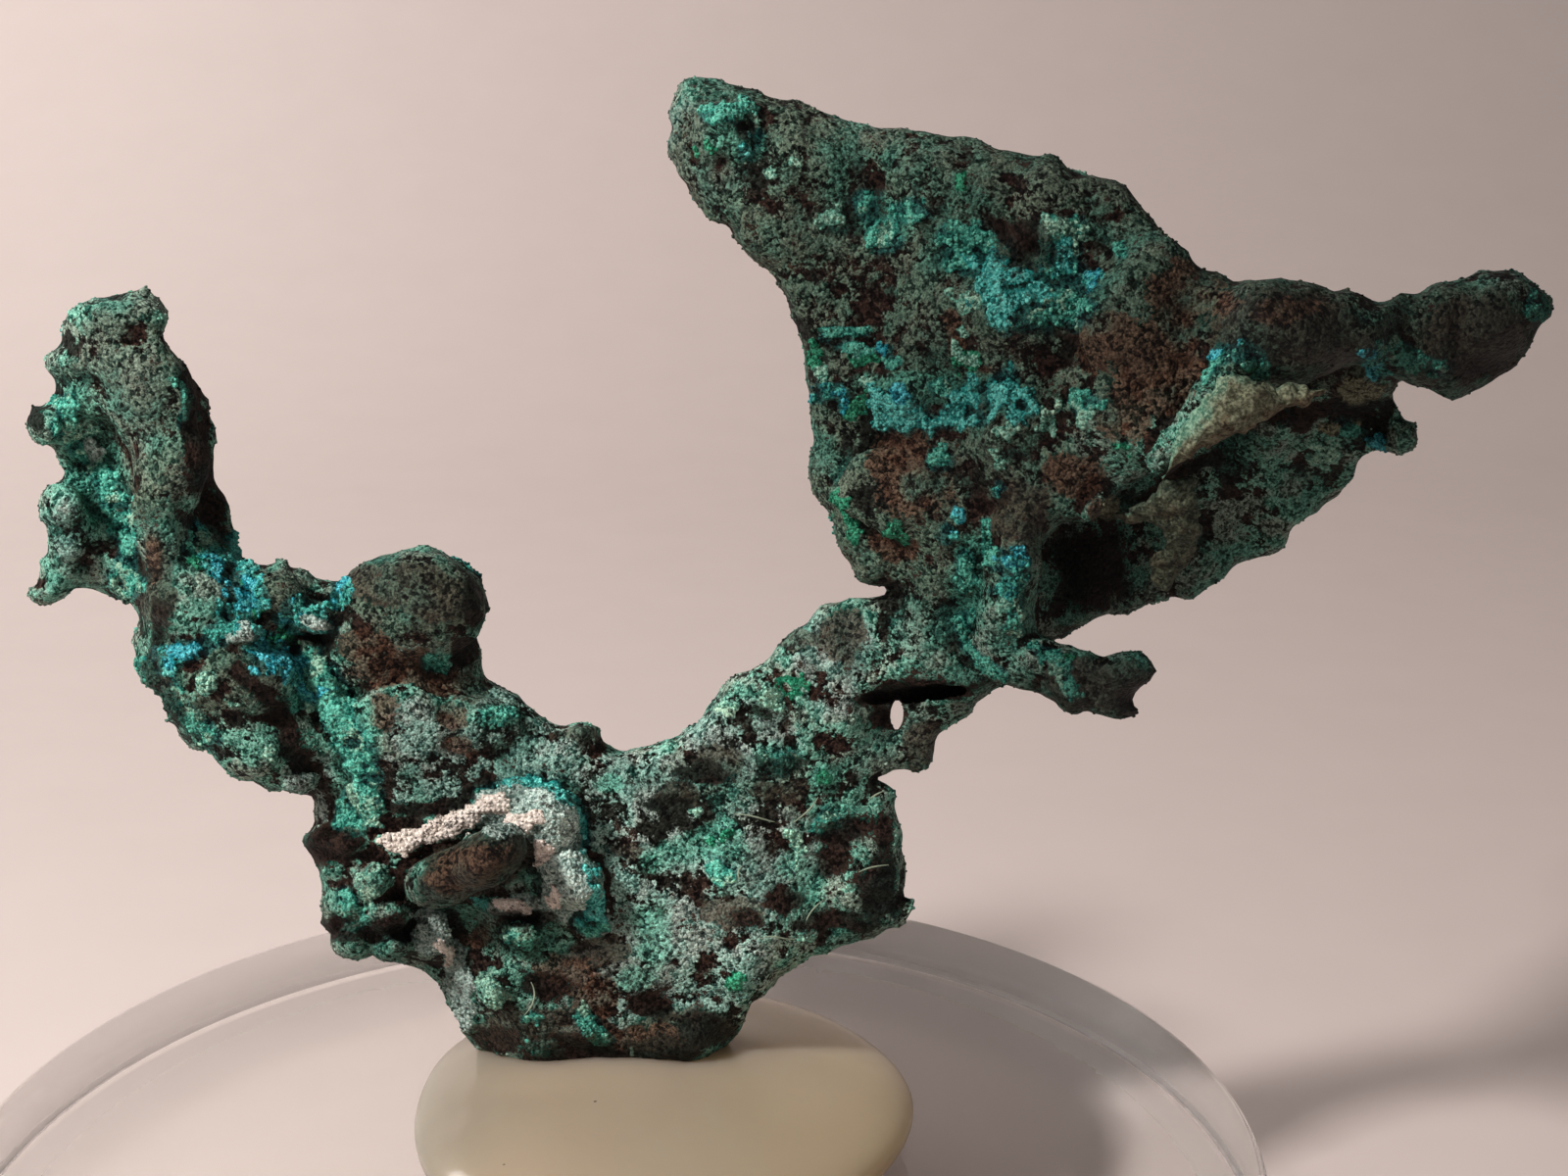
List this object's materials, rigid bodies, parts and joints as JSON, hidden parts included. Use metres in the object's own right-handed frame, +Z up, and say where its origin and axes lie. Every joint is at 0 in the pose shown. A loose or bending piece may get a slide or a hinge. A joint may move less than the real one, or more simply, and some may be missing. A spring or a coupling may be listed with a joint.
{
  "type": "native copper nugget",
  "caption": "Hackly branching plate of native copper with green and blue crusts, pressed into a pad of putty on a clear round display base.",
  "frame": {"origin": "centre of the display base's underside", "axes": "+X to the right of the show side, +Y away from it, +Z up"},
  "size_m": [0.0588, 0.0508, 0.0489],
  "materials": {
    "weathered_copper": "dull, crusted with green and blue copper minerals",
    "putty": "translucent, smooth and slightly glossy",
    "clear_acrylic": "clear, polished"
  },
  "bodies": {
    "root": {"copper_nugget": "weathered_copper", "mounting_putty": "putty", "display_base": "clear_acrylic"}
  },
  "joints": []
}
